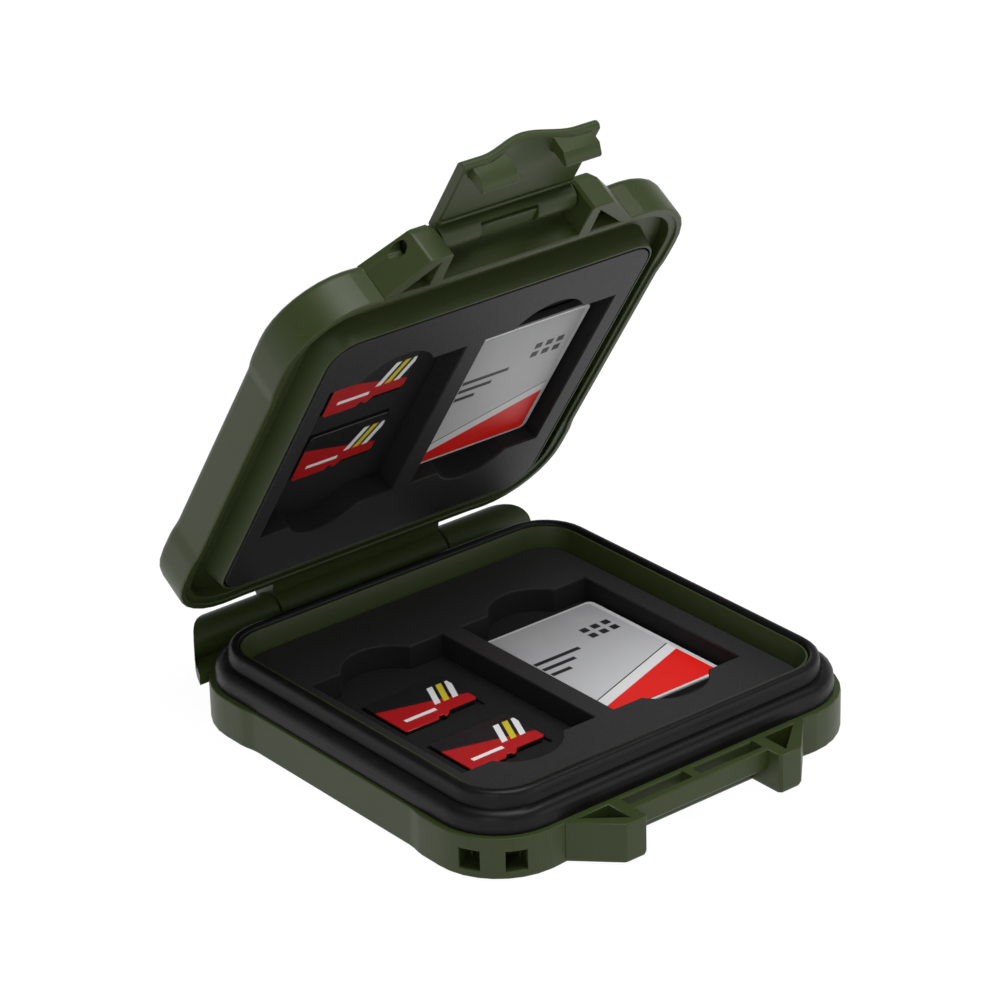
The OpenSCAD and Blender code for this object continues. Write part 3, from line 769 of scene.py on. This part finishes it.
def add_label(side, centre, tilt):
    bpy.ops.object.select_all(action="DESELECT")
    bpy.ops.mesh.primitive_cube_add(size=1)
    label = bpy.context.object
    label.name = side + "_label"
    wide = (CARD_WIDE - 2 * LABEL_SIDE_RIM) * MM
    long = (CARD_LONG - 2 * LABEL_RIM) * MM
    label.scale = (wide, long, LABEL_THICK)
    bpy.ops.object.transform_apply(location=False, rotation=False, scale=True)
    choose(label)
    for edge in label.data.edges:
        start, end = (label.data.vertices[i].co for i in edge.vertices)
        edge.select = abs(start.z - end.z) > LABEL_THICK / 2
    bpy.ops.object.mode_set(mode="EDIT")
    bpy.ops.mesh.bevel(offset=LABEL_CORNER, segments=6, affect="EDGES")
    bpy.ops.object.mode_set(mode="OBJECT")
    lift = Matrix.Translation((0, 0, FRONT_THICK / 2 + LABEL_THICK / 2))
    label.matrix_world = Matrix.Translation(centre) @ Matrix.Rotation(tilt, 4, "X") @ lift
    bpy.ops.object.transform_apply(location=True, rotation=True, scale=True)
    smooth(label, 30)
    return label


# %% Large cards
FRONT_EDGE = 0.16
BACK_EDGE = 0.08
LOCK_EDGE = 0.1
DARK = card_plastic("dark_card_plastic", (0.03, 0.03, 0.032), (0.045, 0.045, 0.048), 0.4)
GREY = card_plastic("lock_plastic", (0.20, 0.20, 0.21), (0.26, 0.26, 0.27), 0.4)
GOLD = gold_pads()


def gild(node):
    """Contact pads keep their CAD mesh and get a gold finish."""
    nodes[node].data.materials.clear()
    nodes[node].data.materials.append(GOLD)


for side in ("base", "lid"):
    card = side + "_sd_card"
    node = side + "_sd_front"
    centre, tilt = lying(node)
    front = softened(node, side + "_card_front", FRONT_EDGE)
    dress(front, card_shell(side + "_card_shell", centre, tilt), card, "card_front", node)
    node = side + "_sd_back"
    back = softened(node, side + "_card_back", BACK_EDGE, segments=1)
    dress(back, DARK, card, "card_back", node)
    node = side + "_sd_lock"
    lock = softened(node, side + "_lock_slider", LOCK_EDGE)
    dress(lock, GREY, side + "_sd_write_lock", "lock", node)
    label = add_label(side, centre, tilt)
    dress(label, large_label(side + "_label_print", centre, tilt), card, "card_front")
    gild(side + "_sd_contacts")

# %% [markdown]
# ## The small cards
# Four small cards, thin black plastic with a stepped outline, share one drawing. A single material
# could not find four centres, so each card has its own, made by the same function.

# %% Small cards
SMALL_EDGE = 0.1
for side in ("base", "lid"):
    for letter in ("a", "b"):
        node = side + "_micro_" + letter
        small = softened(node, node + "_body", SMALL_EDGE)
        printed = small_print(node + "_print", *lying(node))
        dress(small, printed, side + "_micro_card_" + letter, "small_card", node)
        gild(node + "_contacts")

# %% [markdown]
# ## The studio
# The photograph has a plain white ground with almost no shadow. The floor shows white to the
# camera, with a small share of real shading left in it. The world is white to the camera and dimmer
# as a light. Reflections see it white at the horizon and grey overhead, as under a studio ceiling,
# so that dark foam and rubber stay dark. Three large soft lamps shape the plastic. A tent of
# glowing planes would light the case as well, but it would stand in the way of other views.

# %% The floor, a hair below the case so that the two never share a plane
FLOOR_WHITE = 0.9
FLOOR_GLOW = 1.03
FLOOR_SIZE = 8
SHADOW_SHARE = 0.06
FLOOR_LEVEL = -0.1 * MM


def add_floor():
    bpy.ops.object.select_all(action="DESELECT")
    bpy.ops.mesh.primitive_plane_add(size=FLOOR_SIZE, location=(0, 0, FLOOR_LEVEL))
    floor = bpy.context.object
    floor.name = "floor"
    finish = Finish("floor_white")
    paper = finish.add("ShaderNodeBsdfDiffuse", values={"Color": (FLOOR_WHITE,) * 3})
    values = {"Color": (1.0, 1.0, 1.0), "Strength": FLOOR_GLOW}
    glow = finish.add("ShaderNodeEmission", values=values)
    seen = finish.add("ShaderNodeLightPath", output="Is Camera Ray")
    mirrored = finish.add("ShaderNodeLightPath", output="Is Glossy Ray")
    share = (seen + mirrored) * (1 - SHADOW_SHARE)
    mixed = finish.add("ShaderNodeMixShader", values=[share, paper, glow])
    finish.tree.nodes.remove(finish.shader)
    surface = finish.tree.nodes["Material Output"].inputs["Surface"]
    finish.tree.links.new(mixed.socket, surface)
    floor.data.materials.append(finish.material)
    print("floor at", FLOOR_LEVEL)


add_floor()

# %% The world
WORLD_LEVEL = 0.28
CEILING = 0.15
CEILING_FROM = 0.5


def set_world():
    """White to the camera, a gradient to reflections, and dim as a light."""
    world = bpy.data.worlds.new("studio")
    bpy.context.scene.world = world
    world.use_nodes = True
    tree = world.node_tree

    def add(kind, **inputs):
        node = tree.nodes.new(kind)
        for key, value in inputs.items():
            socket = node.inputs[key.replace("_", " ")]
            if isinstance(value, float):
                socket.default_value = value
            else:
                tree.links.new(value, socket)
        return node

    rays = add("ShaderNodeLightPath").outputs
    direction = add("ShaderNodeTexCoord").outputs["Generated"]
    height = add("ShaderNodeSeparateXYZ", Vector=direction).outputs["Z"]
    gradient = add(
        "ShaderNodeMapRange",
        Value=height, From_Max=CEILING_FROM, To_Min=1.0, To_Max=CEILING,
    )
    gradient.interpolation_type = "SMOOTHSTEP"
    mirrored = add(
        "ShaderNodeMapRange",
        Value=rays["Is Glossy Ray"], To_Min=WORLD_LEVEL, To_Max=gradient.outputs["Result"],
    )
    strength = add(
        "ShaderNodeMapRange",
        Value=rays["Is Camera Ray"], To_Min=mirrored.outputs["Result"], To_Max=1.0,
    )
    background = tree.nodes["Background"]
    background.inputs["Color"].default_value = (1.0, 1.0, 1.0, 1.0)
    tree.links.new(strength.outputs["Result"], background.inputs["Strength"])
    print("world level", WORLD_LEVEL, "ceiling", CEILING)


set_world()

# %% Lamps: name, place, size in metres and power in watts
LAMPS = (
    ("key", (-0.75, -0.55, 0.45), 0.35, 1.4),
    ("fill", (0.5, -0.8, 0.25), 0.4, 0.8),
    ("top", (0.1, -0.18, 0.9), 0.6, 7.0),
)
for name, place, size, power in LAMPS:
    lamp = bpy.data.objects.new(name, bpy.data.lights.new(name, "AREA"))
    bpy.context.scene.collection.objects.link(lamp)
    lamp.data.shape = "SQUARE"
    lamp.data.size = size
    lamp.data.energy = power
    lamp.location = place
    aim = LOOK_AT - Vector(place)
    lamp.rotation_euler = aim.to_track_quat("-Z", "Y").to_euler()
    print(name, "lamp of", power, "W at", place)

# %% [markdown]
# ## The colour view
# The colours are shown as they are, with no film look.

# %% Colour view
bpy.context.scene.view_settings.view_transform = "Standard"
